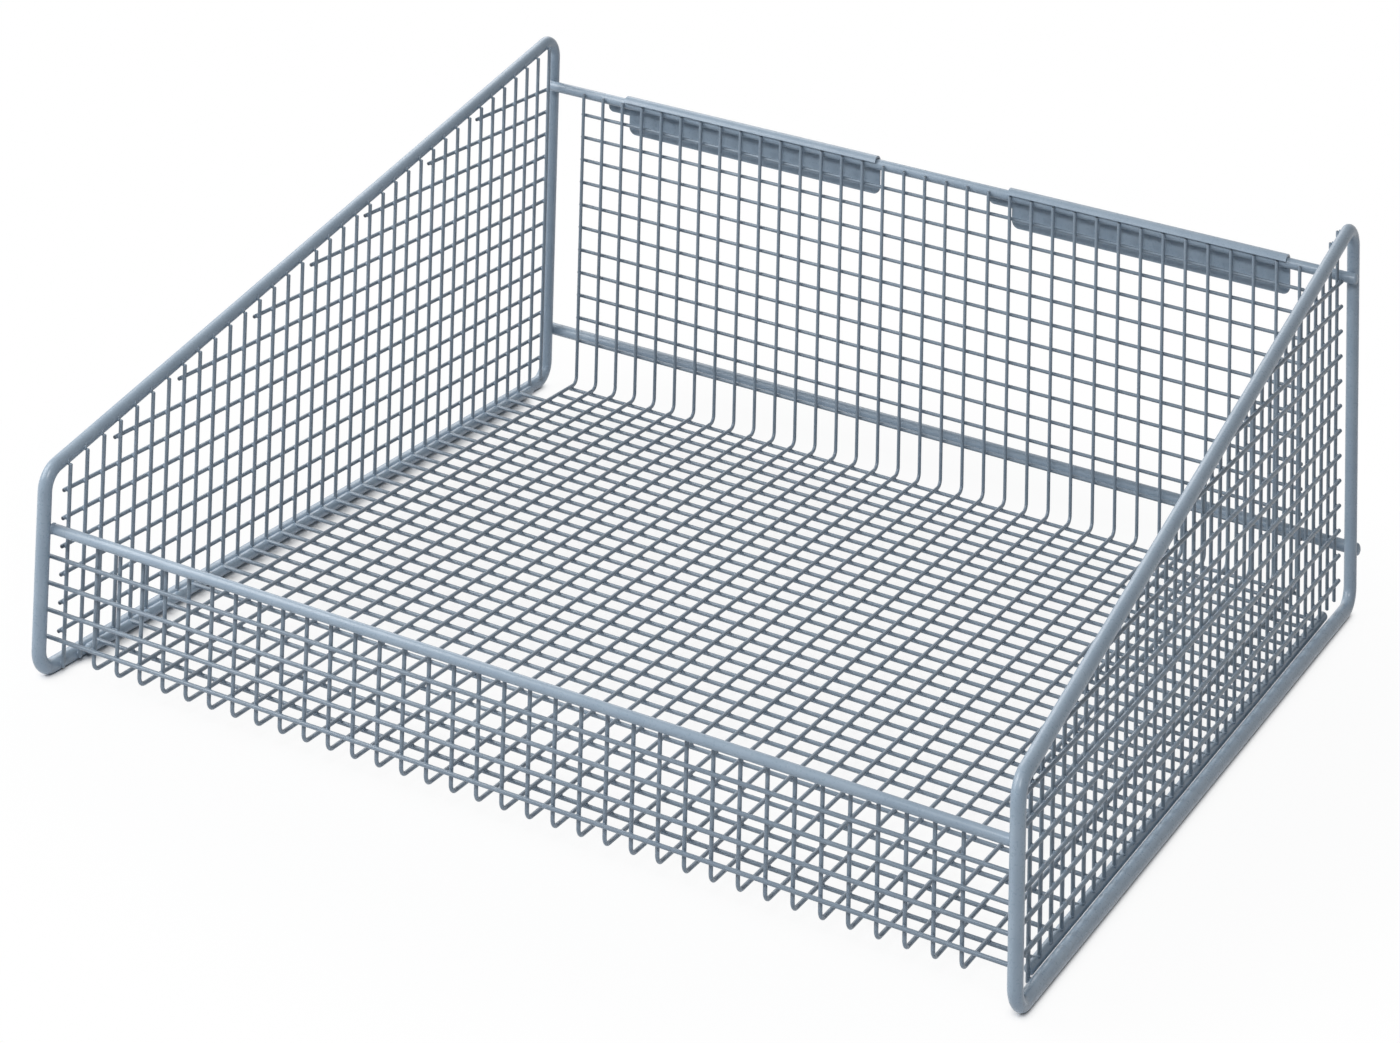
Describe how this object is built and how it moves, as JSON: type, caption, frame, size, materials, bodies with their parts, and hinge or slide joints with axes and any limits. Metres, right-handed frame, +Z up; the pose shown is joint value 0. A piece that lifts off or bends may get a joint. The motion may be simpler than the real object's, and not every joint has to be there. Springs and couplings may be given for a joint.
{
  "type": "hanging storage bin",
  "caption": "Open-front welded wire storage bin with sloping sides, bent-bar side frames and rolled hook strips on its rear rail for hanging on a lipped panel or rail.",
  "frame": {"origin": "centre of the bounding box on the ground, at the underside of the two bottom bars", "axes": "+X along the width, to the right when facing the low front; +Y to the high rear where the hook strips are; +Z up"},
  "size_m": [0.4887, 0.4761, 0.1987],
  "materials": {
    "coated_steel": "satin blue-grey powder coat on mild steel wire, bar and sheet"
  },
  "bodies": {
    "root": {"edge_ladder": "coated_steel", "floor_ladder": "coated_steel", "front_cross_1": "coated_steel", "front_cross_2": "coated_steel", "front_cross_3": "coated_steel", "front_cross_4": "coated_steel", "front_rail": "coated_steel", "hanger_left": "coated_steel", "hanger_right": "coated_steel", "long_wire_02": "coated_steel", "long_wire_03": "coated_steel", "long_wire_04": "coated_steel", "long_wire_05": "coated_steel", "long_wire_06": "coated_steel", "long_wire_07": "coated_steel", "long_wire_08": "coated_steel", "long_wire_09": "coated_steel", "long_wire_10": "coated_steel", "long_wire_11": "coated_steel", "long_wire_12": "coated_steel", "long_wire_13": "coated_steel", "long_wire_14": "coated_steel", "long_wire_15": "coated_steel", "long_wire_16": "coated_steel", "long_wire_17": "coated_steel", "long_wire_18": "coated_steel", "long_wire_19": "coated_steel", "long_wire_20": "coated_steel", "long_wire_21": "coated_steel", "long_wire_22": "coated_steel", "long_wire_23": "coated_steel", "long_wire_24": "coated_steel", "long_wire_25": "coated_steel", "long_wire_26": "coated_steel", "long_wire_27": "coated_steel", "long_wire_28": "coated_steel", "long_wire_29": "coated_steel", "long_wire_30": "coated_steel", "long_wire_31": "coated_steel", "long_wire_32": "coated_steel", "long_wire_33": "coated_steel", "long_wire_34": "coated_steel", "rear_lower_rail": "coated_steel", "rear_top_rail": "coated_steel", "side_frame_left": "coated_steel", "side_frame_right": "coated_steel", "side_mesh_left": "coated_steel", "side_mesh_right": "coated_steel"}
  },
  "joints": []
}
